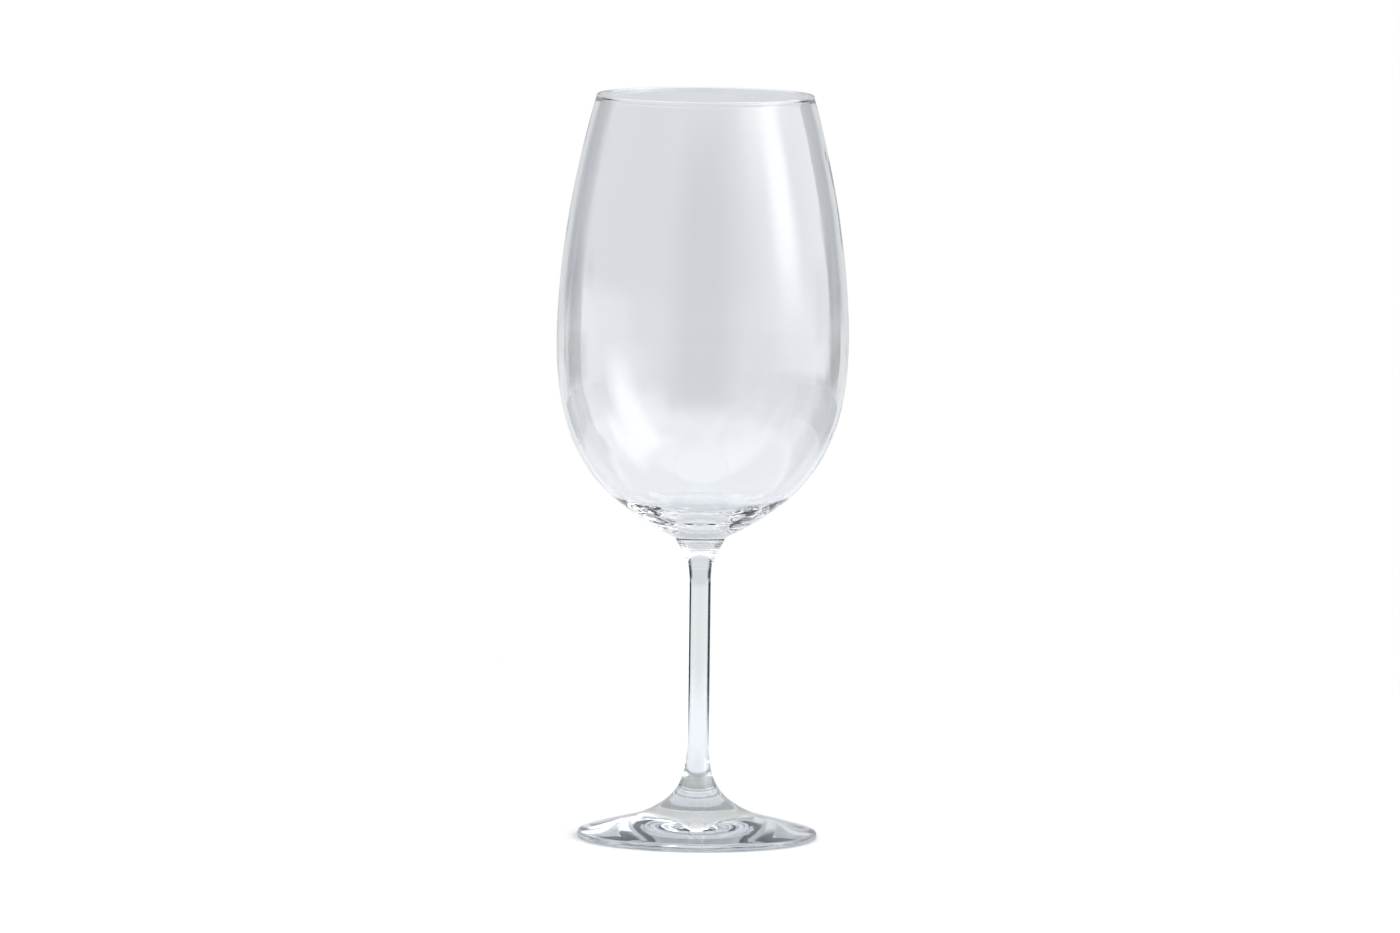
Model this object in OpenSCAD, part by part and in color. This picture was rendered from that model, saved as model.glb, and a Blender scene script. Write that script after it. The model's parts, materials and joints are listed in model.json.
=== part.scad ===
// Large red-wine glass in clear soda-lime glass, made of three pieces fused end to end:
// a blown bowl, a drawn stem and a spun foot.
// Millimetres. The origin is on the table, on the axis of the glass, and +Z runs up through the bowl.
// Every piece is a body of revolution: its section is a list of [radius, height] points.

/* [Bowl] */
// Height of the bowl, from its weld with the stem to the top of the rim
bowl_h = 148.6; // [120:0.2:180]
// Outside diameter at the belly, the widest ring of the bowl
belly_d = 95.4; // [78:0.2:115]
// Height of the belly above the weld
belly_h = 67.6; // [56:0.2:82]
// Largest diameter of the rounded lip
rim_d = 71.2; // [58:0.2:76]
// Inward lean of the wall just below the lip, in degrees from upright
rim_lean = 15.5; // [5:0.5:22]
// Thickness of the blown wall
wall_t = 1.25; // [0.9:0.05:2]
// Diameter of the fire-polished bead that rounds the lip
lip_d = 1.45; // [1.1:0.05:2.4]
// Glass left under the lowest point inside the bowl, down to the collar
floor_t = 6.6; // [4:0.2:10]
// Rise of the underside from the level where it meets the collar, in degrees
underside_rise = 27; // [20:1:35]

/* [Collar under the bowl] */
// Diameter of the collar where the underside of the bowl meets it
collar_d = 16.6; // [14.6:0.2:20]
// Height of the collar above the weld with the stem
collar_h = 3.5; // [2.5:0.1:6]
// Number of chill rings left round the collar by the shaping tool
chill_rings = 3; // [1:1:5]
// Height that each chill ring stands proud of the collar
chill_ring_h = 0.18; // [0:0.02:0.3]

/* [Stem] */
// Length of the stem between its two welds
stem_l = 82.9; // [60:0.1:100]
// Diameter of the straight, drawn part
stem_d = 7.3; // [6:0.1:9]
// Diameter of the weld with the collar of the bowl
top_weld_d = 13.2; // [11:0.1:14]
// Lean of the stem just under the top weld, in degrees from upright
top_weld_lean = 36; // [20:1:45]
// Length over which the stem widens to the top weld
top_flare_l = 15.4; // [12:0.1:22]
// Length over which the stem widens to the foot weld
foot_flare_l = 17.5; // [14:0.1:22]

/* [Foot] */
// Outside diameter of the foot
foot_d = 78.6; // [64:0.2:96]
// Height of the weld with the stem above the table
foot_h = 12.5; // [9.5:0.1:16]
// Diameter of the weld with the stem
foot_weld_d = 20.8; // [17:0.1:25]
// Slope of the surface through the foot weld, in degrees from level
foot_weld_slope = 37.5; // [30:0.5:50]
// Thickness of the rounded edge of the foot
edge_t = 2.4; // [1.8:0.1:3.2]
// Slope of the top of the foot just inside its edge, in degrees from level
edge_slope = 17.5; // [10:0.5:20]
// Width of the flat ring that the glass stands on
rest_ring_w = 4; // [2:0.5:8]
// Height of the shallow hollow under the middle of the foot
hollow_h = 1.6; // [0.5:0.1:2.6]

/* [Hidden] */
$fn = 128; // facets in the preview of each turned piece

// How far each end of a curve holds its direction, as a share of the curve's height or run.
// They set the shape of a curve and not its size.
shoulder_hold = [0.28, 0.40]; // belly to lip: at the belly, at the lip
underside_hold = [0.62, 0.39]; // belly to collar: at the belly, at the collar
floor_hold = [0.30, 0.42]; // wall to the middle of the floor inside: at the wall, at the middle
floor_start = 0.6; // share of the underside curve, from the belly, at which the wall starts to thicken
foot_hold = [0.54, 0.37]; // edge to weld on top of the foot: at the edge, at the weld
hollow_hold = [0.30, 0.35]; // ring to middle under the foot: at the ring, at the middle
flare_hold = [0.34, 0.46]; // weld to drawn part of the stem: at the weld, at the drawn part
curve_steps = 20; // points along each long curve
arc_steps = 10; // points along each small rounding
ring_steps = 6; // points along each chill ring

// Heights above the table. The pieces stack, so the welds set where each one sits.
top_weld_z = foot_h + stem_l;
collar_z = top_weld_z + collar_h;
belly_z = top_weld_z + belly_h;
floor_z = collar_z + floor_t;
glass_h = top_weld_z + bowl_h;

// A direction in the section plane, from its angle to the level.
function direction(angle) = [cos(angle), sin(angle)];
// The unit vector a quarter turn clockwise from v.
function right_of(v) = [v[1], -v[0]] / norm(v);
// A point of a cubic curve through c[0] and c[3], pulled by c[1] and c[2].
function on_curve(c, t) =
    pow(1 - t, 3) * c[0] + 3 * pow(1 - t, 2) * t * c[1] + 3 * (1 - t) * t * t * c[2] + pow(t, 3) * c[3];
// The direction of travel of that curve.
function along_curve(c, t) =
    pow(1 - t, 2) * (c[1] - c[0]) + 2 * (1 - t) * t * (c[2] - c[1]) + t * t * (c[3] - c[2]);
// Points of a curve between two shares of its length of travel, moved to its right by shift.
function curve_points(c, from = 0, to = 1, shift = 0, steps = curve_steps) = [
    for (i = [0 : steps])
        let (t = from + (to - from) * i / steps) on_curve(c, t) + shift * right_of(along_curve(c, t))
];
// Points of an arc about centre.
function arc_points(centre, r, from, to, steps = arc_steps) = [
    for (i = [0 : steps]) centre + r * direction(from + (to - from) * i / steps)
];
// The points of list from index first to index last.
function part_of(list, first, last) = [for (i = [first : last]) list[i]];
function reversed(list) = [for (i = [len(list) - 1 : -1 : 0]) list[i]];

// Bowl. The wall stands between an outer curve and the same curve moved in by wall_t.
lip_centre = [(rim_d - lip_d) / 2, glass_h - lip_d / 2];
lip_wrap = acos(wall_t / lip_d); // how far past the wall's faces the bead's arc starts
wall_up = direction(90 + rim_lean);
lip_base = lip_centre + right_of(wall_up) * wall_t / 2 - wall_up * sin(lip_wrap) * lip_d / 2;
shoulder_h = lip_base[1] - belly_z;
shoulder_curve = [
    [belly_d / 2, belly_z],
    [belly_d / 2, belly_z + shoulder_hold[0] * shoulder_h],
    lip_base - shoulder_hold[1] * shoulder_h * wall_up,
    lip_base
];
underside_h = belly_z - collar_z;
underside_curve = [
    [belly_d / 2, belly_z],
    [belly_d / 2, belly_z - underside_hold[0] * underside_h],
    [collar_d / 2, collar_z] + underside_hold[1] * underside_h * direction(underside_rise),
    [collar_d / 2, collar_z]
];
// Inside, the wall follows the underside down to floor_edge, and then thickens to the level floor.
floor_way = along_curve(underside_curve, floor_start);
floor_edge = on_curve(underside_curve, floor_start) + wall_t * right_of(floor_way);
floor_curve = [
    floor_edge,
    floor_edge + floor_hold[0] * floor_edge[0] * floor_way / norm(floor_way),
    [floor_hold[1] * floor_edge[0], floor_z],
    [0, floor_z]
];

// The collar's side, from the weld up to the underside, with its chill rings.
function collar_points() = [
    for (i = [0 : chill_rings * ring_steps])
        let (share = i / (chill_rings * ring_steps))
        [
            top_weld_d / 2 + share * (collar_d - top_weld_d) / 2
                + chill_ring_h * (1 - cos(360 * share * chill_rings)) / 2,
            top_weld_z + share * collar_h
        ]
];

function bowl_section() = let (
    outer_low = reversed(curve_points(underside_curve)),
    outer_high = curve_points(shoulder_curve),
    lip = arc_points(lip_centre, lip_d / 2, rim_lean - lip_wrap, rim_lean + 180 + lip_wrap),
    inner_high = reversed(curve_points(shoulder_curve, shift = -wall_t)),
    inner_low = curve_points(underside_curve, to = floor_start, shift = wall_t),
    floor_inside = curve_points(floor_curve)
) concat(
    [[0, top_weld_z]],
    collar_points(),
    part_of(outer_low, 1, curve_steps),
    part_of(outer_high, 1, curve_steps - 1),
    lip,
    part_of(inner_high, 1, curve_steps),
    part_of(inner_low, 1, curve_steps),
    part_of(floor_inside, 1, curve_steps)
);

// Stem. Each flare leaves its weld in the direction of the piece that it joins.
foot_flare_curve = [
    [foot_weld_d / 2, foot_h],
    [foot_weld_d / 2, foot_h] + flare_hold[0] * foot_flare_l * direction(180 - foot_weld_slope),
    [stem_d / 2, foot_h + (1 - flare_hold[1]) * foot_flare_l],
    [stem_d / 2, foot_h + foot_flare_l]
];
top_flare_curve = [
    [top_weld_d / 2, top_weld_z],
    [top_weld_d / 2, top_weld_z] + flare_hold[0] * top_flare_l * direction(270 - top_weld_lean),
    [stem_d / 2, top_weld_z - (1 - flare_hold[1]) * top_flare_l],
    [stem_d / 2, top_weld_z - top_flare_l]
];

function stem_section() = concat(
    [[0, foot_h]],
    curve_points(foot_flare_curve),
    reversed(curve_points(top_flare_curve)),
    [[0, top_weld_z]]
);

// Foot. The edge is an arc that ends where the top surface starts.
edge_centre = [(foot_d - edge_t) / 2, edge_t / 2];
edge_top = edge_centre + edge_t / 2 * direction(90 - edge_slope);
rest_ring_in = edge_centre[0] - rest_ring_w;
foot_run = edge_top[0] - foot_weld_d / 2;
foot_top_curve = [
    edge_top,
    edge_top + foot_hold[0] * foot_run * direction(180 - edge_slope),
    [foot_weld_d / 2, foot_h] + foot_hold[1] * foot_run * direction(-foot_weld_slope),
    [foot_weld_d / 2, foot_h]
];
hollow_curve = [
    [0, hollow_h],
    [hollow_hold[1] * rest_ring_in, hollow_h],
    [(1 - hollow_hold[0]) * rest_ring_in, hollow_hold[0] * hollow_h],
    [rest_ring_in, 0]
];

function foot_section() = concat(
    curve_points(hollow_curve),
    arc_points(edge_centre, edge_t / 2, -90, 90 - edge_slope),
    part_of(curve_points(foot_top_curve), 1, curve_steps),
    [[0, foot_h]]
);

// Blown bowl, with its rounded lip, thick floor and the collar that the stem is welded to.
module bowl() {
    color([0.87, 0.89, 0.91], 0.45) rotate_extrude() polygon(bowl_section());
}

// Drawn stem, widened at both ends for its welds.
module stem() {
    color([0.88, 0.90, 0.91], 0.6) rotate_extrude() polygon(stem_section());
}

// Spun foot, with a ring to stand on and a shallow hollow inside it.
module foot() {
    color([0.84, 0.87, 0.88], 0.6) rotate_extrude() polygon(foot_section());
}

bowl();
stem();
foot();
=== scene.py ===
"""Looks of a large red-wine glass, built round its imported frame.

Everything is in metres in the frame's own axes: the origin is on the table, on the axis of the glass, and
+Z runs up through the bowl. The real glass is three pieces of hot glass fused end to end, and each is a
class here: the blown Bowl, the drawn Stem and the spun Foot. Each one draws its section as radius and
height, and a Geometry Nodes tree turns the section round the axis and adds the marks of making.
"""

from __future__ import annotations

import json
import logging
import math
from dataclasses import dataclass
from enum import Enum
from typing import Any, Callable, Mapping, Sequence

import bpy
from mathutils import Euler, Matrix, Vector

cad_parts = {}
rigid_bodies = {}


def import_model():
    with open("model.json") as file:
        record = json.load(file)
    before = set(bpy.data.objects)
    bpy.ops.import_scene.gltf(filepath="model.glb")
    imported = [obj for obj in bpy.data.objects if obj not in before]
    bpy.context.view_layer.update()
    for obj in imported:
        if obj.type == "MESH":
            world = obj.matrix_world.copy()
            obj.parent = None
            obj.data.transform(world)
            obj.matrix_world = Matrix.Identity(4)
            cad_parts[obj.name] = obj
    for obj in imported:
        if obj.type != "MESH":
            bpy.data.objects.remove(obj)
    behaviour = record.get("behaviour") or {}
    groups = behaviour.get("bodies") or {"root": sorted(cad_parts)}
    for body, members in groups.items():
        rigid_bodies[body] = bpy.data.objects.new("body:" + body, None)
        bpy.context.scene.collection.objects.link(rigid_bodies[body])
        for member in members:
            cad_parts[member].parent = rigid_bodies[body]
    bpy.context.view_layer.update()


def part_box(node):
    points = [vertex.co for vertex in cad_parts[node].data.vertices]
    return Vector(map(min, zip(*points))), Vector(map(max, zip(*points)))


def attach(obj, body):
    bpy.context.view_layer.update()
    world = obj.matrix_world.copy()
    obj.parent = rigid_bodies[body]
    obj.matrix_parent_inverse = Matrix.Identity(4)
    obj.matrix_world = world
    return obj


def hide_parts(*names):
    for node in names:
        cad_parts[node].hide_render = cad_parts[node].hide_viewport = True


LOG = logging.getLogger("wine_glass")
MM = 0.001
BODY = "root"
GLASS_IOR = 1.52
TURN_SEGMENTS = 256
FOOT_WELD_RADIUS = 10.4 * MM
BOWL_WELD_RADIUS = 6.6 * MM
RED_LOSS = 0.6
Color = tuple[float, float, float]


# Node trees ------------------------------------------------------------------------------------------------


class Flow:
    """One number on its way through a node tree. Each operator adds a Math node."""

    def __init__(self, graph: Graph, socket: bpy.types.NodeSocket) -> None:
        """Wraps a socket.

        Args:
            graph: the graph that the socket belongs to.
            socket: an output socket that carries a number.
        """
        self.graph = graph
        self.socket = socket

    def math(self, operation: str, *others: Any) -> Flow:
        """Adds a Math node whose first value is this one.

        Args:
            operation: the Math node's operation.
            others: the other values, as numbers or flows.

        Returns:
            The node's result.
        """
        values = dict(enumerate((self, *others)))
        return self.graph.value("ShaderNodeMath", {"operation": operation}, values)

    def __add__(self, other: Any) -> Flow:
        """This value plus another."""
        return self.math("ADD", other)

    def __radd__(self, other: Any) -> Flow:
        """Another value plus this one."""
        return self.math("ADD", other)

    def __sub__(self, other: Any) -> Flow:
        """This value less another."""
        return self.math("SUBTRACT", other)

    def __rsub__(self, other: Any) -> Flow:
        """Another value less this one."""
        return self.math("MULTIPLY_ADD", -1.0, other)

    def __mul__(self, other: Any) -> Flow:
        """This value times another."""
        return self.math("MULTIPLY", other)

    def __rmul__(self, other: Any) -> Flow:
        """Another value times this one."""
        return self.math("MULTIPLY", other)

    def __truediv__(self, other: Any) -> Flow:
        """This value over another."""
        return self.math("DIVIDE", other)

    def __rtruediv__(self, other: Any) -> Flow:
        """Another value over this one."""
        return other * self.math("POWER", -1.0)

    def step(self, low: float, high: float) -> Flow:
        """Rises smoothly from 0 at low to 1 at high, or falls where high is under low.

        Args:
            low: the value that gives 0.
            high: the value that gives 1.

        Returns:
            The smooth step.
        """
        falls = high < low
        start, end = sorted((low, high))
        settings = {"interpolation_type": "SMOOTHSTEP"}
        inputs = {"Value": self, "From Min": start, "From Max": end}
        rise = self.graph.value("ShaderNodeMapRange", settings, inputs)
        return 1.0 - rise if falls else rise


class Graph:
    """Adds nodes to one node tree and links them."""

    # The places of a Mix node's sockets when it mixes colours.
    MIX_FACTOR, MIX_LOW, MIX_HIGH, MIX_RESULT = 0, 6, 7, 2

    def __init__(self, tree: bpy.types.NodeTree) -> None:
        """Takes a node tree and empties it.

        Args:
            tree: a shader, world or geometry tree.
        """
        self.tree = tree
        tree.nodes.clear()

    def add(
        self, kind: str, settings: Mapping[str, Any] | None = None, inputs: Mapping[Any, Any] | None = None
    ) -> bpy.types.Node:
        """Adds one node.

        Args:
            kind: the node's type.
            settings: its own settings, which are set first.
            inputs: a value, flow or socket for each input, by name or by place.

        Returns:
            The node.
        """
        node = self.tree.nodes.new(kind)
        for name, value in (settings or {}).items():
            setattr(node, name, value)
        for name, value in (inputs or {}).items():
            source = value.socket if isinstance(value, Flow) else value
            if isinstance(source, bpy.types.NodeSocket):
                self.tree.links.new(source, node.inputs[name])
            else:
                node.inputs[name].default_value = source
        return node

    def value(
        self,
        kind: str,
        settings: Mapping[str, Any] | None = None,
        inputs: Mapping[Any, Any] | None = None,
        output: str | int = 0,
    ) -> Flow:
        """Adds one node and gives one of its numbers.

        Args:
            kind: the node's type.
            settings: its own settings.
            inputs: its inputs.
            output: the output to give, by name or by place.

        Returns:
            The output as a flow.
        """
        return Flow(self, self.add(kind, settings, inputs).outputs[output])

    def mix(self, factor: Flow | float, low: Any, high: Any) -> bpy.types.NodeSocket:
        """Mixes two colours.

        Args:
            factor: 0 for low and 1 for high.
            low: the first colour, or a socket that carries it.
            high: the second colour, or a socket that carries it.

        Returns:
            The socket with the mixed colour.
        """
        inputs = {self.MIX_FACTOR: factor, self.MIX_LOW: paint(low), self.MIX_HIGH: paint(high)}
        return self.add("ShaderNodeMix", {"data_type": "RGBA"}, inputs).outputs[self.MIX_RESULT]

    def noise(self, place: Any, size: Any, detail: float = 2.0, seed: Any = 0.0) -> Flow:
        """Adds soft noise.

        Args:
            place: the socket with the place to read it at.
            size: the length of one wave of it, as a number or a flow.
            detail: how many finer layers it has.
            seed: a number or a flow that picks the pattern.

        Returns:
            The noise, from 0 to 1 with a middle of a half.
        """
        inputs = {"Vector": place, "W": seed, "Scale": 1.0 / size, "Detail": detail}
        return self.value("ShaderNodeTexNoise", {"noise_dimensions": "4D"}, inputs)

    def stretched(self, place: Any, factors: Sequence[float]) -> bpy.types.NodeSocket:
        """Scales a vector along each axis.

        Args:
            place: the socket with the vector.
            factors: the three scales.

        Returns:
            The socket with the scaled vector.
        """
        node = self.add("ShaderNodeVectorMath", {"operation": "MULTIPLY"}, {0: place, 1: tuple(factors)})
        return node.outputs[0]


class Finish(Graph):
    """The node tree of a new material, which ends in one Principled shader."""

    def __init__(self, name: str) -> None:
        """Makes the material.

        Args:
            name: the material's name.
        """
        self.material = bpy.data.materials.new(name)
        self.material.use_nodes = True
        super().__init__(self.material.node_tree)

    def shaded(self, inputs: Mapping[str, Any]) -> bpy.types.Material:
        """Ends the tree in the shader.

        Args:
            inputs: the shader's inputs.

        Returns:
            The finished material.
        """
        shader = self.add("ShaderNodeBsdfPrincipled", None, inputs)
        self.add("ShaderNodeOutputMaterial", None, {"Surface": shader.outputs[0]})
        return self.material


def put_in_scene(name: str, data: Any) -> bpy.types.Object:
    """Makes an object of a mesh or a camera, and puts it in the scene."""
    thing = bpy.data.objects.new(name, data)
    bpy.context.scene.collection.objects.link(thing)
    return thing


def paint(colour: Any) -> Any:
    """Gives a plain colour its fourth number, and passes a socket on."""
    return (*colour, 1.0) if isinstance(colour, (tuple, list)) else colour


# Sections --------------------------------------------------------------------------------------------------


def heading(angle: float) -> Vector:
    """The unit vector at an angle to the level, in degrees."""
    return Vector((math.cos(math.radians(angle)), math.sin(math.radians(angle))))


def right_of(way: Vector) -> Vector:
    """The unit vector a quarter turn clockwise from a direction of travel."""
    return Vector((way.y, -way.x)).normalized()


def smooth(value: float, low: float, high: float) -> float:
    """Rises smoothly from 0 at low to 1 at high."""
    share = min(max((value - low) / (high - low), 0.0), 1.0)
    return share * share * (3.0 - 2.0 * share)


@dataclass(frozen=True)
class Curve:
    """A cubic curve in the section plane, from start to end, pulled by two points between them."""

    start: Vector
    pull_start: Vector
    pull_end: Vector
    end: Vector

    def point(self, share: float) -> Vector:
        """The point at a share of the travel."""
        rest = 1.0 - share
        ends = rest**3 * self.start + share**3 * self.end
        return ends + 3 * rest * share * (rest * self.pull_start + share * self.pull_end)

    def travel(self, share: float) -> Vector:
        """The direction of travel at a share of the travel."""
        rest = 1.0 - share
        ends = rest * rest * (self.pull_start - self.start) + share * share * (self.end - self.pull_end)
        return (ends + 2 * rest * share * (self.pull_end - self.pull_start)).normalized()

    def points(
        self, steps: int, last: float = 1.0, shifts: tuple[float, float] = (0.0, 0.0)
    ) -> list[Vector]:
        """Points along the curve, from its start.

        Args:
            steps: how many steps to take.
            last: the share of the travel to end at.
            shifts: how far to move the first and the last of them to the right of the travel.

        Returns:
            The points, one more than the steps.
        """
        found = []
        for i in range(steps + 1):
            share = last * i / steps
            shift = shifts[0] + (shifts[1] - shifts[0]) * i / steps
            found.append(self.point(share) + shift * right_of(self.travel(share)))
        return found


def arc(centre: Vector, radius: float, first: float, last: float, steps: int) -> list[Vector]:
    """Points along an arc about a centre, from one angle to another in degrees."""
    return [centre + radius * heading(first + (last - first) * i / steps) for i in range(steps + 1)]


@dataclass
class Section:
    """The outline that is turned round the axis, from one point on the axis to another.

    Each point also carries how strongly the tree marks the glass there, and whether it is on a weld's face.
    """

    points: list[Vector]
    marks: list[float]
    streaks: list[float]
    welds: list[float]
    SAME_POINT = 1e-7

    @classmethod
    def empty(cls) -> Section:
        """A section with no points."""
        return cls([], [], [], [])

    def run(
        self,
        points: Sequence[Vector],
        marks: Callable[[Vector], float] = lambda _: 0.0,
        streaks: Callable[[Vector], float] = lambda _: 0.0,
        weld: bool = False,
    ) -> None:
        """Adds a stretch of points, and leaves out the first where the last stretch ended on it.

        Args:
            points: the points of the stretch.
            marks: gives the strength of the chill marks at a point.
            streaks: gives the strength of the streaks at a point.
            weld: whether the stretch is a weld's face.
        """
        meets = bool(self.points) and (self.points[-1] - points[0]).length < self.SAME_POINT
        if meets and weld:
            self.welds[-1] = 1.0
        for point in points[1:] if meets else points:
            self.points.append(point)
            self.marks.append(marks(point))
            self.streaks.append(streaks(point))
            self.welds.append(1.0 if weld else 0.0)

    def mesh(self, name: str) -> bpy.types.Mesh:
        """Makes the section a mesh of edges, with its strengths as attributes.

        Args:
            name: the mesh's name.

        Returns:
            The mesh.
        """
        mesh = bpy.data.meshes.new(name)
        places = [(max(point.x, 0.0), 0.0, point.y) for point in self.points]
        mesh.from_pydata(places, [(i, i + 1) for i in range(len(places) - 1)], [])
        for key, values in (("marks", self.marks), ("streaks", self.streaks), ("welds", self.welds)):
            mesh.attributes.new(key, "FLOAT", "POINT").data.foreach_set("value", values)
        return mesh


# The turning tree ------------------------------------------------------------------------------------------


@dataclass(frozen=True)
class Making:
    """Marks that making leaves in the glass. Sizes are in metres.

    mark_depth and mark_size are for the chill marks of tool and mould, and mark_sides, from 0 to 1, keeps
    them to the two sides where the halves of the mould meet. streak_depth and streak_size are for the
    streaks that blowing draws up the wall, and seed picks the pattern of both.
    """

    mark_depth: float = 0.0
    mark_size: float = 3.5 * MM
    mark_sides: float = 0.0
    streak_depth: float = 0.0
    streak_size: float = 5.0 * MM
    seed: float = 1.0


class TurningTree:
    """The Geometry Nodes tree that turns a section round the axis."""

    INPUTS = (
        ("Segments", "NodeSocketInt"),
        ("Section Points", "NodeSocketInt"),
        ("Mark Depth", "NodeSocketFloat"),
        ("Mark Size", "NodeSocketFloat"),
        ("Mark Sides", "NodeSocketFloat"),
        ("Streak Depth", "NodeSocketFloat"),
        ("Streak Size", "NodeSocketFloat"),
        ("Seed", "NodeSocketFloat"),
    )
    MERGE = 1e-6
    AXIS_GUARD = MERGE * MERGE
    MARK_FLATTENING = 1.6
    MARK_DETAIL = 0.3
    MOULD_JOINT = (0.05, 0.45)
    STREAK_LENGTH = 14.0
    STREAK_SEED = 7.0
    NOISE_MIDDLE = 0.5
    WHOLE_WELD = 0.9

    def __init__(self, glass: bpy.types.Material, weld: bpy.types.Material) -> None:
        """Builds the tree.

        Args:
            glass: the finish of the piece.
            weld: the finish of its weld faces.
        """
        self.tree = bpy.data.node_groups.new("turned_" + glass.name, "GeometryNodeTree")
        self.graph = Graph(self.tree)
        self.ids: dict[str, str] = {}
        face = self.tree.interface
        face.new_socket("Geometry", in_out="INPUT", socket_type="NodeSocketGeometry")
        face.new_socket("Geometry", in_out="OUTPUT", socket_type="NodeSocketGeometry")
        for name, kind in self.INPUTS:
            self.ids[name] = face.new_socket(name, in_out="INPUT", socket_type=kind).identifier
        self.group = self.graph.add("NodeGroupInput")
        turned = self._turned()
        marked = self._marked(turned)
        self._dressed(marked, glass, weld)

    def _given(self, name: str) -> Flow:
        """One of the tree's inputs."""
        return Flow(self.graph, self.group.outputs[name])

    def _from_section(self, kind: str, value: bpy.types.NodeSocket, index: Flow) -> bpy.types.NodeSocket:
        """Reads a value off the section at a point's index.

        Args:
            kind: the type of data.
            value: the field to read.
            index: the index of the section's point.

        Returns:
            The socket with the value.
        """
        inputs = {"Geometry": self.group.outputs["Geometry"], "Value": value, "Index": index}
        return self.graph.add("GeometryNodeSampleIndex", {"data_type": kind}, inputs).outputs[0]

    def _named(self, name: str) -> Flow:
        """Reads a number that is stored on the points."""
        return self.graph.value("GeometryNodeInputNamedAttribute", {"data_type": "FLOAT"}, {"Name": name})

    def _turned(self) -> bpy.types.NodeSocket:
        """Bends a grid round the axis onto the section, and closes its seam and its poles.

        Returns:
            The socket with the turned surface.
        """
        graph = self.graph
        segments, count = self._given("Segments"), self._given("Section Points")
        sizes = {"Vertices X": segments + 1.0, "Vertices Y": count}
        grid = graph.add("GeometryNodeMeshGrid", None, sizes).outputs["Mesh"]
        index = graph.value("GeometryNodeInputIndex")
        column = (index / count).math("FLOOR")
        row = index - column * count
        angle = column * (2.0 * math.pi) / segments
        place = graph.add("GeometryNodeInputPosition").outputs[0]
        drawn = self._from_section("FLOAT_VECTOR", place, row)
        outline = graph.add("ShaderNodeSeparateXYZ", None, {0: drawn})
        radius = Flow(graph, outline.outputs[0])
        around = {0: radius * angle.math("COSINE"), 1: radius * angle.math("SINE"), 2: outline.outputs[2]}
        spot = graph.add("ShaderNodeCombineXYZ", None, around).outputs[0]
        surface = grid
        number = {"data_type": "FLOAT"}
        for name in ("marks", "streaks", "welds"):
            strength = self._from_section("FLOAT", self._named(name).socket, row)
            stored = {"Geometry": surface, "Name": name, "Value": strength}
            surface = graph.add("GeometryNodeStoreNamedAttribute", number, stored).outputs[0]
        bent = graph.add("GeometryNodeSetPosition", None, {"Geometry": surface, "Position": spot})
        closed = {"Geometry": bent.outputs[0], "Distance": self.MERGE}
        return graph.add("GeometryNodeMergeByDistance", None, closed).outputs[0]

    def _marked(self, surface: bpy.types.NodeSocket) -> bpy.types.NodeSocket:
        """Moves the surface along its own normals by the chill marks and the streaks.

        Args:
            surface: the socket with the turned surface.

        Returns:
            The socket with the marked surface.
        """
        graph = self.graph
        place = graph.add("GeometryNodeInputPosition").outputs[0]
        seed = self._given("Seed")
        flat = graph.stretched(place, (1.0, 1.0, self.MARK_FLATTENING))
        marks = graph.noise(flat, self._given("Mark Size"), self.MARK_DETAIL, seed)
        tall = graph.stretched(place, (1.0, 1.0, 1.0 / self.STREAK_LENGTH))
        streaks = graph.noise(tall, self._given("Streak Size"), seed=seed + self.STREAK_SEED)
        split = graph.add("ShaderNodeSeparateXYZ", None, {0: place})
        across, back = (Flow(graph, split.outputs[i]) for i in range(2))
        radius_squared = across * across + back * back + self.AXIS_GUARD
        side = (across * across / radius_squared).step(*self.MOULD_JOINT)
        calm = 1.0 - self._given("Mark Sides") * (1.0 - side)
        push = (marks - self.NOISE_MIDDLE) * self._given("Mark Depth") * self._named("marks") * calm
        drawn = (streaks - self.NOISE_MIDDLE) * self._given("Streak Depth") * self._named("streaks")
        normal = graph.add("GeometryNodeInputNormal").outputs[0]
        inputs = {0: normal, "Scale": push + drawn}
        offset = graph.add("ShaderNodeVectorMath", {"operation": "SCALE"}, inputs).outputs[0]
        moved = {"Geometry": surface, "Offset": offset}
        return graph.add("GeometryNodeSetPosition", None, moved).outputs[0]

    def _dressed(
        self, surface: bpy.types.NodeSocket, glass: bpy.types.Material, weld: bpy.types.Material
    ) -> None:
        """Smooths the surface up to its weld faces, and gives both their finish.

        Args:
            surface: the socket with the marked surface.
            glass: the finish of the piece.
            weld: the finish of its weld faces.
        """
        graph = self.graph
        whole = self._named("welds").math("GREATER_THAN", self.WHOLE_WELD)
        rounded = graph.add("GeometryNodeSetShadeSmooth", None, {0: surface, "Shade Smooth": True})
        real = graph.add("GeometryNodeRealizeInstances", None, {0: rounded.outputs[0]})
        dressed = graph.add("GeometryNodeSetMaterial", None, {0: real.outputs[0], "Material": glass})
        welded = {0: dressed.outputs[0], "Selection": whole, "Material": weld}
        last = graph.add("GeometryNodeSetMaterial", None, welded)
        graph.add("NodeGroupOutput", None, {0: last.outputs[0]})

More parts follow.
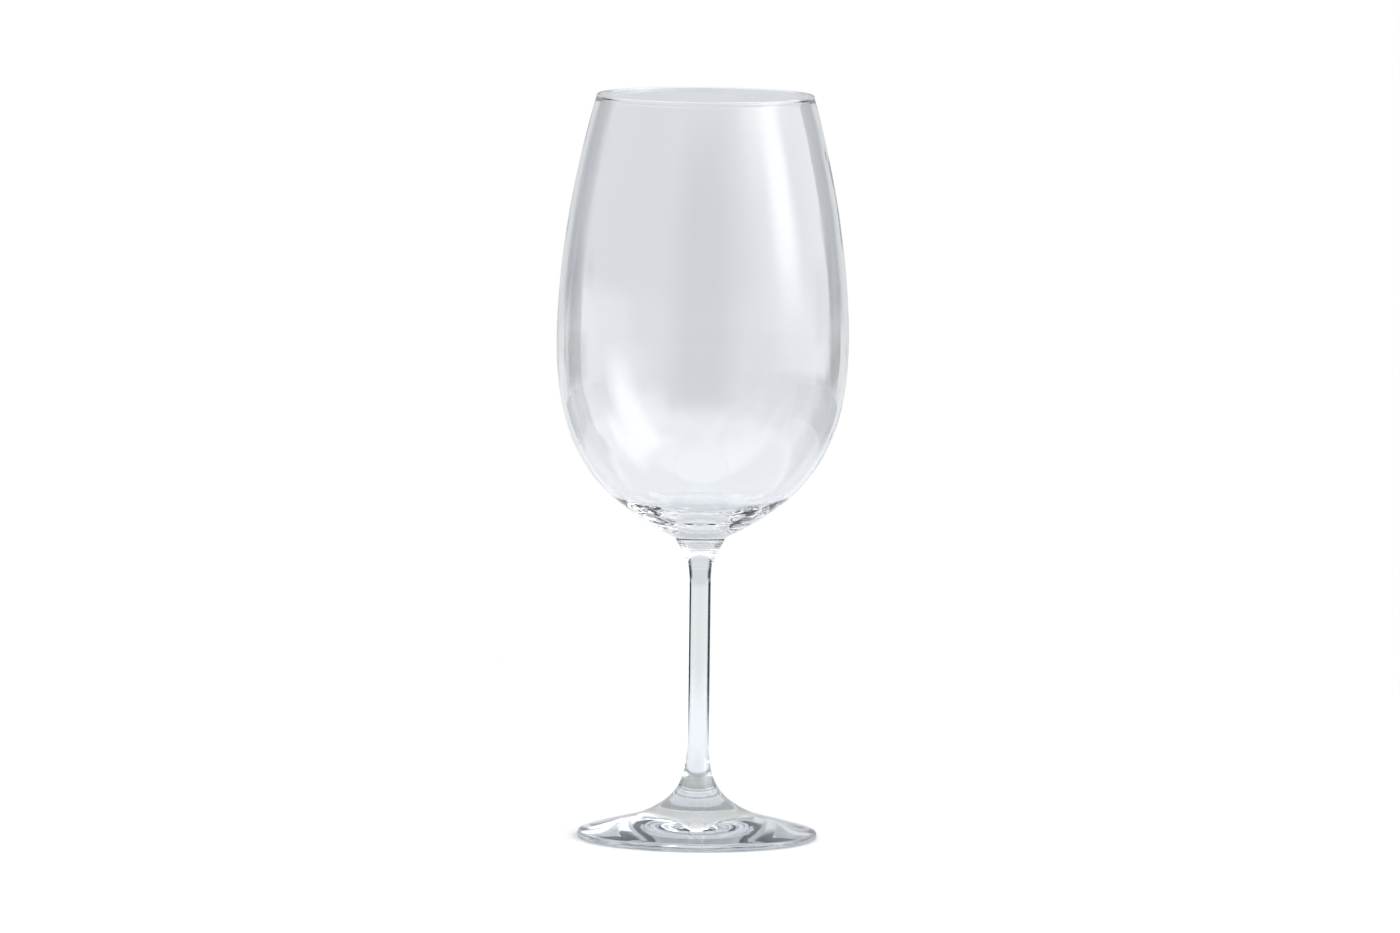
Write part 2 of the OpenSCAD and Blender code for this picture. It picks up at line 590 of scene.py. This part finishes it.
    def apply(self, name: str, section: Section, making: Making) -> bpy.types.Object:
        """Turns a section into a plain mesh.

        Args:
            name: the piece's name.
            section: its section.
            making: the marks of making on it.

        Returns:
            The finished piece.
        """
        piece = put_in_scene(name, section.mesh(name + "_section"))
        turn = piece.modifiers.new("turn", "NODES")
        turn.node_group = self.tree
        given = {
            "Segments": TURN_SEGMENTS,
            "Section Points": len(section.points),
            "Mark Depth": making.mark_depth,
            "Mark Size": making.mark_size,
            "Mark Sides": making.mark_sides,
            "Streak Depth": making.streak_depth,
            "Streak Size": making.streak_size,
            "Seed": making.seed,
        }
        for key, value in given.items():
            turn[self.ids[key]] = value
        depsgraph = bpy.context.evaluated_depsgraph_get()
        solid = bpy.data.meshes.new_from_object(piece.evaluated_get(depsgraph), depsgraph=depsgraph)
        piece.modifiers.clear()
        outline = piece.data
        piece.data = solid
        solid.name = name
        bpy.data.meshes.remove(outline)
        sharpen_welds(solid)
        return piece


def sharpen_welds(mesh: bpy.types.Mesh) -> None:
    """Marks the edges between the weld faces and the glass sharp."""
    sides: dict[tuple[int, int], set[int]] = {}
    for polygon in mesh.polygons:
        for key in polygon.edge_keys:
            sides.setdefault(key, set()).add(polygon.material_index)
    sharp = [len(sides[edge.key]) > 1 for edge in mesh.edges]
    attribute = mesh.attributes.get("sharp_edge") or mesh.attributes.new("sharp_edge", "BOOLEAN", "EDGE")
    attribute.data.foreach_set("value", sharp)


# Finishes --------------------------------------------------------------------------------------------------


@dataclass(frozen=True)
class GlassFinish:
    """Clear soda-lime glass with a fire-polished surface.

    clear and deep are the tints that it varies between, and tint_size is the size of that change. polish is
    the roughness of clean glass and smear that of a wiped smear. swell is the height of the slow waves in
    the surface. heart is the tint within heart_radius of the axis, and it fades out at twice that.
    """

    name: str
    clear: Color
    deep: Color
    tint_size: float = 30.0 * MM
    polish: float = 0.0
    smear: float = 0.012
    smear_size: float = 9.0 * MM
    swell: float = 0.01 * MM
    swell_size: float = 7.0 * MM
    heart: Color = (0.985, 0.99, 0.985)
    heart_radius: float = 14.0 * MM
    WIPING = (1.0, 1.0, 0.25)
    SMEAR_DETAIL = 4.0
    SMEAR_SEED = 3.0
    SMEAR_EDGES = (0.5, 0.75)
    SWELL_DETAIL = 1.0
    SWELL_SEED = 5.0

    def material(self) -> bpy.types.Material:
        """Builds the material.

        Returns:
            The glass.
        """
        graph = Finish(self.name)
        place = graph.add("ShaderNodeTexCoord").outputs["Object"]
        tint = graph.mix(graph.noise(place, self.tint_size), self.clear, self.deep)
        across = graph.stretched(place, (1.0, 1.0, 0.0))
        radius = graph.value("ShaderNodeVectorMath", {"operation": "LENGTH"}, {0: across}, "Value")
        tint = graph.mix(radius.step(self.heart_radius, 2.0 * self.heart_radius), self.heart, tint)
        wiped = graph.stretched(place, self.WIPING)
        smears = graph.noise(wiped, self.smear_size, self.SMEAR_DETAIL, self.SMEAR_SEED)
        roughness = smears.step(*self.SMEAR_EDGES) * (self.smear - self.polish) + self.polish
        swell = graph.noise(place, self.swell_size, self.SWELL_DETAIL, self.SWELL_SEED)
        bump = graph.add("ShaderNodeBump", None, {"Height": swell, "Distance": self.swell})
        glass = {
            "Base Color": tint,
            "Roughness": roughness,
            "Normal": bump.outputs[0],
            "IOR": GLASS_IOR,
            "Transmission Weight": 1.0,
        }
        return graph.shaded(glass)


@dataclass(frozen=True)
class WeldFinish:
    """The face where two pieces are fused. Light goes straight through it, as through whole glass."""

    name: str = "fused_weld"
    tint: Color = (0.97, 0.98, 0.98)

    def material(self) -> bpy.types.Material:
        """Builds the material.

        Returns:
            The weld's finish.
        """
        clear = {"Base Color": paint(self.tint), "Alpha": 0.0, "Roughness": 0.0}
        return Finish(self.name).shaded(clear)


# Pieces ----------------------------------------------------------------------------------------------------


@dataclass(frozen=True)
class Weld:
    """A level weld between two pieces: its height and its radius."""

    height: float
    radius: float

    @property
    def middle(self) -> Vector:
        """Its middle, in the section plane."""
        return Vector((0.0, self.height))

    @property
    def rim(self) -> Vector:
        """Its rim, in the section plane."""
        return Vector((self.radius, self.height))


@dataclass
class Bowl:
    """The blown bowl, with its rounded lip, its thick floor and the collar that the stem is welded to.

    throat is how much of the collar's height and of the underside's travel is rounded off between the two.
    chill_in and chill_out are the radii between which the chill marks start and stop. streaks_top and
    streaks_low are the distances, down from the lip and up from the weld, over which the streaks begin.
    """

    weld: Weld
    top: float
    belly_radius: float
    finish: GlassFinish
    weld_finish: WeldFinish
    belly_height: float = 67.6 * MM
    rim_radius: float = 35.6 * MM
    rim_lean: float = 15.5
    wall: float = 1.25 * MM
    lip_wall: float = 0.85 * MM
    lip: float = 1.0 * MM
    floor: float = 6.6 * MM
    underside_rise: float = 27.0
    collar_radius: float = 8.3 * MM
    collar_height: float = 3.5 * MM
    chill_rings: int = 3
    chill_ring: float = 0.08 * MM
    throat: tuple[float, float] = (0.36, 0.028)
    shoulder_hold: tuple[float, float] = (0.28, 0.40)
    underside_hold: tuple[float, float] = (0.62, 0.39)
    floor_hold: tuple[float, float] = (0.30, 0.42)
    floor_start: float = 0.65
    chill_in: tuple[float, float] = (7.0 * MM, 13.0 * MM)
    chill_out: tuple[float, float] = (22.0 * MM, 29.0 * MM)
    streaks_top: tuple[float, float] = (1.0 * MM, 12.0 * MM)
    streaks_low: tuple[float, float] = (18.0 * MM, 45.0 * MM)
    making: Making = Making(
        mark_depth=0.85 * MM,
        mark_size=5.2 * MM,
        mark_sides=1.0,
        streak_depth=0.09 * MM,
        streak_size=3.0 * MM,
        seed=4.0,
    )
    RING_STEPS = 12
    THROAT_STEPS = 16
    UNDERSIDE_STEPS = 72
    SHOULDER_STEPS = 56
    LIP_STEPS = 24
    INSIDE_STEPS = 40
    FLOOR_STEPS = 48

    @property
    def _belly(self) -> Vector:
        """The widest point of the outside."""
        return Vector((self.belly_radius, self.weld.height + self.belly_height))

    def _collar(self) -> list[Vector]:
        """The side of the collar with its chill rings, from the weld up to the throat."""
        steps = self.RING_STEPS * self.chill_rings
        points = []
        for i in range(steps + 1):
            share = i / steps * (1.0 - self.throat[0])
            radius = self.weld.radius + share * (self.collar_radius - self.weld.radius)
            radius += self.chill_ring * (1 - math.cos(2 * math.pi * i / steps * self.chill_rings)) / 2
            points.append(Vector((radius, self.weld.height + share * self.collar_height)))
        return points

    def _shoulder(self) -> tuple[Curve, list[Vector]]:
        """The outer curve from the belly to the lip, and the lip's own arc."""
        centre = Vector((self.rim_radius - self.lip / 2, self.top - self.lip / 2))
        wrap = math.degrees(math.acos(self.lip_wall / self.lip))
        upward = heading(90.0 + self.rim_lean)
        inset = math.sin(math.radians(wrap)) * self.lip / 2
        base = centre + right_of(upward) * self.lip_wall / 2 - upward * inset
        rise = base.y - self._belly.y
        pull_belly = self._belly + Vector((0.0, self.shoulder_hold[0] * rise))
        pull_base = base - self.shoulder_hold[1] * rise * upward
        ends = (self.rim_lean - wrap, self.rim_lean + 180.0 + wrap)
        bead = arc(centre, self.lip / 2, *ends, self.LIP_STEPS)
        return Curve(self._belly, pull_belly, pull_base, base), bead

    def _underside(self) -> Curve:
        """The outer curve from the belly down to the collar."""
        collar = Vector((self.collar_radius, self.weld.height + self.collar_height))
        drop = self._belly.y - collar.y
        pull_belly = self._belly - Vector((0.0, self.underside_hold[0] * drop))
        pull_collar = collar + self.underside_hold[1] * drop * heading(self.underside_rise)
        return Curve(self._belly, pull_belly, pull_collar, collar)

    def _floor(self, underside: Curve) -> Curve:
        """The inner curve from the wall to the middle of the floor."""
        way = underside.travel(self.floor_start)
        edge = underside.point(self.floor_start) + self.wall * right_of(way)
        level = self.weld.height + self.collar_height + self.floor
        pulls = (edge + self.floor_hold[0] * edge.x * way, Vector((self.floor_hold[1] * edge.x, level)))
        return Curve(edge, *pulls, Vector((0.0, level)))

    def _chill(self, point: Vector) -> float:
        """How strongly the chill marks show at a point: round the thick base and nowhere else."""
        return smooth(point.x, *self.chill_in) * (1.0 - smooth(point.x, *self.chill_out))

    def _drawn(self, point: Vector) -> float:
        """How strongly the streaks show at a point: in the wall, fading out at the lip and in the base."""
        below, above = self.top - point.y, point.y - self.weld.height
        return smooth(below, *self.streaks_top) * smooth(above, *self.streaks_low)

    def section(self) -> Section:
        """Draws the section from the middle of the weld, up the outside, over the lip and down inside.

        Returns:
            The section.
        """
        shoulder, bead = self._shoulder()
        underside = self._underside()
        floor = self._floor(underside)
        collar = self._collar()
        reach = 1.0 - self.throat[1]
        throat = Curve(collar[-1], underside.end, underside.end, underside.point(reach))
        section = Section.empty()
        section.run([self.weld.middle, self.weld.rim], weld=True)
        section.run(collar)
        section.run(throat.points(self.THROAT_STEPS))
        outside = underside.points(self.UNDERSIDE_STEPS, last=reach)
        section.run(outside[::-1], marks=self._chill, streaks=self._drawn)
        section.run(shoulder.points(self.SHOULDER_STEPS), streaks=self._drawn)
        section.run(bead)
        inner = shoulder.points(self.SHOULDER_STEPS, shifts=(-self.wall, -self.lip_wall))
        section.run(inner[::-1], streaks=self._drawn)
        lower = underside.points(self.INSIDE_STEPS, last=self.floor_start, shifts=(self.wall, self.wall))
        section.run(lower, marks=self._chill, streaks=self._drawn)
        section.run(floor.points(self.FLOOR_STEPS), marks=self._chill)
        return section

    def build(self) -> bpy.types.Object:
        """Turns and dresses the bowl.

        Returns:
            The bowl.
        """
        tree = TurningTree(self.finish.material(), self.weld_finish.material())
        piece = tree.apply("bowl_glass", self.section(), self.making)
        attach(piece, BODY)
        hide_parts("bowl")
        return piece


@dataclass
class Stem:
    """The drawn stem, widened at both ends for its welds."""

    foot_weld: Weld
    bowl_weld: Weld
    finish: GlassFinish
    weld_finish: WeldFinish
    radius: float = 3.65 * MM
    bowl_weld_lean: float = 36.0
    foot_weld_slope: float = 37.5
    bowl_flare: float = 15.4 * MM
    foot_flare: float = 17.5 * MM
    flare_hold: tuple[float, float] = (0.34, 0.46)
    flare_streaks: float = 0.5
    making: Making = Making(streak_depth=0.03 * MM, streak_size=3.0 * MM, seed=9.0)
    FLARE_STEPS = 48
    ROD_STEPS = 60

    def _flare(self, weld: Weld, way: Vector, length: float) -> Curve:
        """A curve from a weld to the straight part of the stem.

        Args:
            weld: where it starts.
            way: the direction in which it leaves the weld.
            length: how far up or down it runs, which is below nought for down.

        Returns:
            The curve.
        """
        end = Vector((self.radius, weld.height + length))
        hold = self.flare_hold[0] * abs(length)
        return Curve(weld.rim, weld.rim + hold * way, end - Vector((0.0, self.flare_hold[1] * length)), end)

    def section(self) -> Section:
        """Draws the section from the middle of the lower weld to the middle of the upper one.

        Returns:
            The section.
        """
        low = self._flare(self.foot_weld, heading(180.0 - self.foot_weld_slope), self.foot_flare)
        high = self._flare(self.bowl_weld, heading(270.0 - self.bowl_weld_lean), -self.bowl_flare)
        rod = [low.end + (high.end - low.end) * i / self.ROD_STEPS for i in range(self.ROD_STEPS + 1)]
        section = Section.empty()
        section.run([self.foot_weld.middle, self.foot_weld.rim], weld=True)
        section.run(low.points(self.FLARE_STEPS), streaks=lambda _: self.flare_streaks)
        section.run(rod, streaks=lambda _: 1.0)
        section.run(high.points(self.FLARE_STEPS)[::-1], streaks=lambda _: self.flare_streaks)
        section.run([self.bowl_weld.rim, self.bowl_weld.middle], weld=True)
        return section

    def build(self) -> bpy.types.Object:
        """Turns and dresses the stem.

        Returns:
            The stem.
        """
        tree = TurningTree(self.finish.material(), self.weld_finish.material())
        piece = tree.apply("stem_glass", self.section(), self.making)
        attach(piece, BODY)
        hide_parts("stem")
        return piece


@dataclass
class Foot:
    """The spun foot: a ring to stand on, a shallow hollow inside it and a raised middle.

    waves_in is the radii over which the waves in the hollow begin, and streaks_in the distances from the
    edge over which the streaks on top begin.
    """

    weld: Weld
    radius: float
    finish: GlassFinish
    weld_finish: WeldFinish
    weld_slope: float = 37.5
    edge: float = 2.4 * MM
    edge_slope: float = 17.5
    rest_ring: float = 4.0 * MM
    hollow: float = 1.6 * MM
    top_hold: tuple[float, float] = (0.54, 0.37)
    hollow_hold: tuple[float, float] = (0.30, 0.35)
    waves_in: tuple[float, float] = (2.0 * MM, 8.0 * MM)
    streaks_in: tuple[float, float] = (2.0 * MM, 6.0 * MM)
    making: Making = Making(
        mark_depth=0.10 * MM, mark_size=5.0 * MM, streak_depth=0.02 * MM, streak_size=6.0 * MM, seed=2.0
    )
    HOLLOW_STEPS = 90
    EDGE_STEPS = 30
    TOP_STEPS = 90

    def _wavy(self, point: Vector) -> float:
        """How strongly the waves show at a point of the hollow: none in its middle and none at its ring."""
        return smooth(point.x, *self.waves_in) * (point.y / self.hollow)

    def _drawn(self, point: Vector) -> float:
        """How strongly the streaks show at a point of the top: all of it but the edge."""
        return smooth(self.radius - point.x, *self.streaks_in)

    def section(self) -> Section:
        """Draws the section from the middle of the hollow, out round the edge and up to the weld.

        Returns:
            The section.
        """
        centre = Vector((self.radius - self.edge / 2, self.edge / 2))
        edge_top = centre + self.edge / 2 * heading(90.0 - self.edge_slope)
        ring_in = centre.x - self.rest_ring
        run = edge_top.x - self.weld.radius
        top = Curve(
            edge_top,
            edge_top + self.top_hold[0] * run * heading(180.0 - self.edge_slope),
            self.weld.rim + self.top_hold[1] * run * heading(-self.weld_slope),
            self.weld.rim,
        )
        hollow = Curve(
            Vector((0.0, self.hollow)),
            Vector((self.hollow_hold[1] * ring_in, self.hollow)),
            Vector(((1.0 - self.hollow_hold[0]) * ring_in, self.hollow_hold[0] * self.hollow)),
            Vector((ring_in, 0.0)),
        )
        section = Section.empty()
        section.run(hollow.points(self.HOLLOW_STEPS), marks=self._wavy)
        section.run(arc(centre, self.edge / 2, -90.0, 90.0 - self.edge_slope, self.EDGE_STEPS))
        section.run(top.points(self.TOP_STEPS), streaks=self._drawn)
        section.run([self.weld.rim, self.weld.middle], weld=True)
        return section

    def build(self) -> bpy.types.Object:
        """Turns and dresses the foot.

        Returns:
            The foot.
        """
        tree = TurningTree(self.finish.material(), self.weld_finish.material())
        piece = tree.apply("foot_glass", self.section(), self.making)
        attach(piece, BODY)
        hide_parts("foot")
        return piece


# Studio ----------------------------------------------------------------------------------------------------


@dataclass(frozen=True)
class Panel:
    """A soft-edged patch of the room, by direction from the glass.

    Angles are in degrees. The bearing is 0 straight behind the glass and grows towards +X, and the height
    is the angle above the horizon. side_edges are the widths of the soft left and right edges, and
    level_edges those of the lower and upper ones. lean moves the patch sideways with height, and a mirrored
    patch stands on both sides.
    """

    bearing: tuple[float, float]
    height: tuple[float, float]
    light: Color
    side_edges: tuple[float, float] = (3.0, 3.0)
    level_edges: tuple[float, float] = (3.0, 3.0)
    lean: float = 0.0
    mirrored: bool = False

    def mask(self, bearing: Flow, height: Flow) -> Flow:
        """How much of the patch shows in a direction.

        Args:
            bearing: the direction's bearing.
            height: the direction's height.

        Returns:
            The mask, from 0 to 1.
        """
        (left, right), (low, high) = self.bearing, self.height
        (left_soft, right_soft), (low_soft, high_soft) = self.side_edges, self.level_edges
        if self.mirrored:
            bearing = bearing.math("ABSOLUTE")
        if self.lean:
            bearing = bearing - height * self.lean
        across = bearing.step(left - left_soft / 2, left + left_soft / 2)
        across = across * bearing.step(right + right_soft / 2, right - right_soft / 2)
        upward = height.step(low - low_soft / 2, low + low_soft / 2)
        return across * upward * height.step(high + high_soft / 2, high - high_soft / 2)


def grey(level: float, blue: float = 0.0) -> Color:
    """A grey of a level, with some blue in it."""
    return (level * (1 - RED_LOSS * blue), level, level * (1 + blue))


class Room(Enum):
    """The patches of the room round the glass. Later ones lie over earlier ones.

    The softbox stands in front of a pale wall, with a skirt of its own spill round it. The dark gaps are on
    both sides of the backdrop, and draw the edges of the bowl and the stem.
    """

    LOW_ROOM = Panel((-300.0, 300.0), (-120.0, -10.0), grey(0.74, 0.05), level_edges=(1.0, 4.0))
    CEILING = Panel((-300.0, 300.0), (31.0, 120.0), grey(1.9, 0.02), level_edges=(12.0, 1.0))
    BACK_CEILING = Panel((-100.0, 100.0), (34.0, 120.0), grey(0.95, 0.03), (20.0, 20.0), (8.0, 1.0))
    DIM_FRONT = Panel(
        (158.0, 300.0), (-60.0, 24.0), grey(0.42, 0.06), (30.0, 1.0), (1.0, 8.0), mirrored=True
    )
    BACKDROP = Panel((-33.0, 33.0), (-95.0, 58.0), grey(0.71, 0.03), (16.0, 16.0), (1.0, 24.0))
    SWEEP = Panel((-33.0, 33.0), (-95.0, -5.8), grey(0.83, 0.03), (16.0, 16.0), (1.0, 1.2))
    GAPS = Panel((33.0, 63.0), (-4.0, 30.0), grey(0.02, 0.7), (16.0, 16.0), (3.0, 10.0), mirrored=True)
    GAP_FEET = Panel((39.0, 74.0), (-12.0, -4.0), grey(0.002), (5.0, 8.0), (3.0, 3.0), mirrored=True)
    LOW_GAPS = Panel((36.0, 66.0), (-22.0, -11.0), grey(0.66, 0.06), (10.0, 8.0), (7.0, 4.0), mirrored=True)
    SIDE_WALL = Panel((59.0, 118.0), (-10.0, 55.0), grey(1.6, 0.02), (2.0, 20.0), (3.0, 4.0), 0.2)
    SKIRT = Panel((90.0, 128.0), (0.0, 48.0), grey(2.2, 0.02), (16.0, 40.0), (12.0, 12.0), 0.5)
    SOFTBOX_TOP = Panel((80.0, 136.0), (19.0, 50.0), grey(3.3, 0.01), (16.0, 34.0), (14.0, 12.0))
    SOFTBOX = Panel((94.0, 113.5), (4.0, 44.0), grey(4.4, 0.01), (14.0, 16.0), (16.0, 12.0), 0.3)


@dataclass
class Studio:
    """A pale table in a soft, light room, and the camera."""

    room_light: Color = grey(0.95, 0.02)
    seen_light: float = 1.0
    table_side: float = 0.24
    table_front: float = 0.37
    table_back: float = 0.42
    table_fade: float = 0.08
    table_gap: float = 0.1 * MM
    table_tint: Color = (0.66, 0.67, 0.69)
    paper_tint: Color = (0.71, 0.71, 0.71)
    paper_lift: float = 0.10
    flag_bearing: tuple[float, float] = (33.0, 100.0)
    flag_distance: float = 0.60
    flag_height: tuple[float, float] = (-0.10, 0.028)
    camera_place: tuple[float, float, float] = (-0.0004, -4.2, 0.545)
    camera_pitch: float = -5.75
    camera_roll: float = 0.68
    camera_lens: float = 332.0
    PAPER_ROUGHNESS = 0.9
    CARD = (0.01, 0.01, 0.012)
    FLAG_STEPS = 24
    FAR = 50.0
    DEEP_BOUNCES = 32
    GLOSSY_BOUNCES = 16
    DIFFUSE_BOUNCES = 6

    def _world(self) -> None:
        """Paints the room into the world: white to the camera, and its patches to the glass."""
        world = bpy.data.worlds.new("studio_room")
        bpy.context.scene.world = world
        world.use_nodes = True
        graph = Graph(world.node_tree)
        way = graph.add("ShaderNodeTexCoord").outputs["Generated"]
        split = graph.add("ShaderNodeSeparateXYZ", None, {0: way})
        across, back, up = (Flow(graph, split.outputs[i]) for i in range(3))
        bearing = across.math("ARCTAN2", back) * math.degrees(1.0)
        height = up.math("ARCSINE") * math.degrees(1.0)
        light: Any = self.room_light
        for patch in Room:
            light = graph.mix(patch.value.mask(bearing, height), light, patch.value.light)
        camera = Flow(graph, graph.add("ShaderNodeLightPath").outputs["Is Camera Ray"])
        seen = graph.mix(camera, light, (self.seen_light,) * 3)
        background = graph.add("ShaderNodeBackground", None, {"Color": seen})
        graph.add("ShaderNodeOutputWorld", None, {"Surface": background.outputs[0]})

    def _table_top(self, name: str, level: float, tint: Color, lift: float) -> bpy.types.Object:
        """Makes one pale sheet that fades out towards its edges.

        Args:
            name: its name.
            level: its height.
            tint: its colour.
            lift: the light that it adds of its own.

        Returns:
            The sheet.
        """
        left, right = -self.table_side - self.table_fade, self.table_side + self.table_fade
        front, back = -self.table_front - self.table_fade, self.table_back + self.table_fade
        mesh = bpy.data.meshes.new(name)
        corners = [(left, front, level), (right, front, level), (right, back, level), (left, back, level)]
        mesh.from_pydata(corners, [], [(0, 1, 2, 3)])
        top = put_in_scene(name, mesh)
        graph = Finish(name)
        place = graph.add("ShaderNodeTexCoord").outputs["Object"]
        split = graph.add("ShaderNodeSeparateXYZ", None, {0: place})
        across, along = (Flow(graph, split.outputs[i]) for i in range(2))
        fade = across.step(left, -self.table_side + self.table_fade)
        fade = fade * across.step(right, self.table_side - self.table_fade)
        fade = fade * along.step(front, -self.table_front + self.table_fade)
        fade = fade * along.step(back, self.table_back - self.table_fade)
        paper = {
            "Base Color": paint(tint),
            "Roughness": self.PAPER_ROUGHNESS,
            "Emission Color": (1.0, 1.0, 1.0, 1.0),
            "Emission Strength": lift,
            "Alpha": fade,
        }
        mesh.materials.append(graph.shaded(paper))
        return top

    def _table(self) -> None:
        """Lays the table a hair under the foot: a white sheet that is seen, on a softer one that lights."""
        seen = self._table_top("white_paper", -self.table_gap, self.paper_tint, self.paper_lift)
        seen.visible_diffuse = seen.visible_glossy = seen.visible_transmission = seen.visible_shadow = False
        lit = self._table_top("pale_table", -2 * self.table_gap, self.table_tint, 0.0)
        lit.visible_camera = False

    def _flags(self) -> None:
        """Stands a low black strip beyond each side of the table, for the stem to mirror."""
        card = {"Base Color": paint(self.CARD), "Roughness": self.PAPER_ROUGHNESS}
        material = Finish("black_card").shaded(card)
        first, last = self.flag_bearing
        steps = self.FLAG_STEPS
        for side in (-1.0, 1.0):
            corners = []
            for i in range(steps + 1):
                turn = math.radians(first + (last - first) * i / steps)
                x, y = side * self.flag_distance * math.sin(turn), self.flag_distance * math.cos(turn)
                corners += [(x, y, self.flag_height[0]), (x, y, self.flag_height[1])]
            mesh = bpy.data.meshes.new("black_flag")
            mesh.from_pydata(corners, [], [(2 * i, 2 * i + 2, 2 * i + 3, 2 * i + 1) for i in range(steps)])
            mesh.materials.append(material)
            flag = put_in_scene("black_flag", mesh)
            flag.visible_camera = flag.visible_diffuse = False
            flag.visible_transmission = flag.visible_shadow = False

    def _camera(self) -> None:
        """Sets up the camera."""
        lens = bpy.data.cameras.new("camera")
        lens.lens = self.camera_lens
        lens.clip_end = self.FAR
        camera = put_in_scene("camera", lens)
        camera.location = self.camera_place
        aim = Euler((math.radians(90.0 + self.camera_pitch), 0.0, 0.0)).to_matrix()
        roll = Euler((0.0, 0.0, math.radians(self.camera_roll))).to_matrix()
        camera.rotation_euler = (aim @ roll).to_euler()
        bpy.context.scene.camera = camera

    def build(self) -> None:
        """Lights and frames the glass."""
        self._world()
        self._table()
        self._flags()
        self._camera()
        scene = bpy.context.scene
        scene.view_settings.view_transform = "Standard"
        scene.view_settings.look = "None"
        scene.cycles.max_bounces = self.DEEP_BOUNCES
        scene.cycles.transmission_bounces = self.DEEP_BOUNCES
        scene.cycles.transparent_max_bounces = self.DEEP_BOUNCES
        scene.cycles.glossy_bounces = self.GLOSSY_BOUNCES
        scene.cycles.diffuse_bounces = self.DIFFUSE_BOUNCES


# The glass -------------------------------------------------------------------------------------------------


def main() -> None:
    """Builds the studio and the glass round the frame."""
    logging.basicConfig(level=logging.INFO, format="%(name)s: %(message)s")
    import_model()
    foot_low, foot_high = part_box("foot")
    bowl_low, bowl_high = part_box("bowl")
    Studio().build()
    fused = WeldFinish()
    foot_weld = Weld(foot_high.z, FOOT_WELD_RADIUS)
    bowl_weld = Weld(bowl_low.z, BOWL_WELD_RADIUS)
    blown = GlassFinish(
        "blown_glass",
        (0.985, 0.99, 0.995),
        (0.97, 0.98, 0.985),
        # The bowl is tinted a darker grey near its axis: painted shade that greys its thick base and the
        # collar.
        heart=(0.74, 0.755, 0.765),
        heart_radius=13.0 * MM,
    )
    drawn = GlassFinish("drawn_glass", (0.96, 0.985, 0.99), (0.945, 0.975, 0.98), heart=(0.96, 0.985, 0.99))
    spun = GlassFinish("spun_glass", (0.85, 0.885, 0.91), (0.77, 0.815, 0.855), heart=(0.86, 0.87, 0.84))
    pieces = (
        Bowl(bowl_weld, bowl_high.z, bowl_high.x, blown, fused),
        Stem(foot_weld, bowl_weld, drawn, fused),
        Foot(foot_weld, foot_high.x, spun, fused),
    )
    for piece in pieces:
        made = piece.build()
        LOG.info("%s: %d faces", made.name, len(made.data.polygons))


if __name__ == "__main__":
    main()
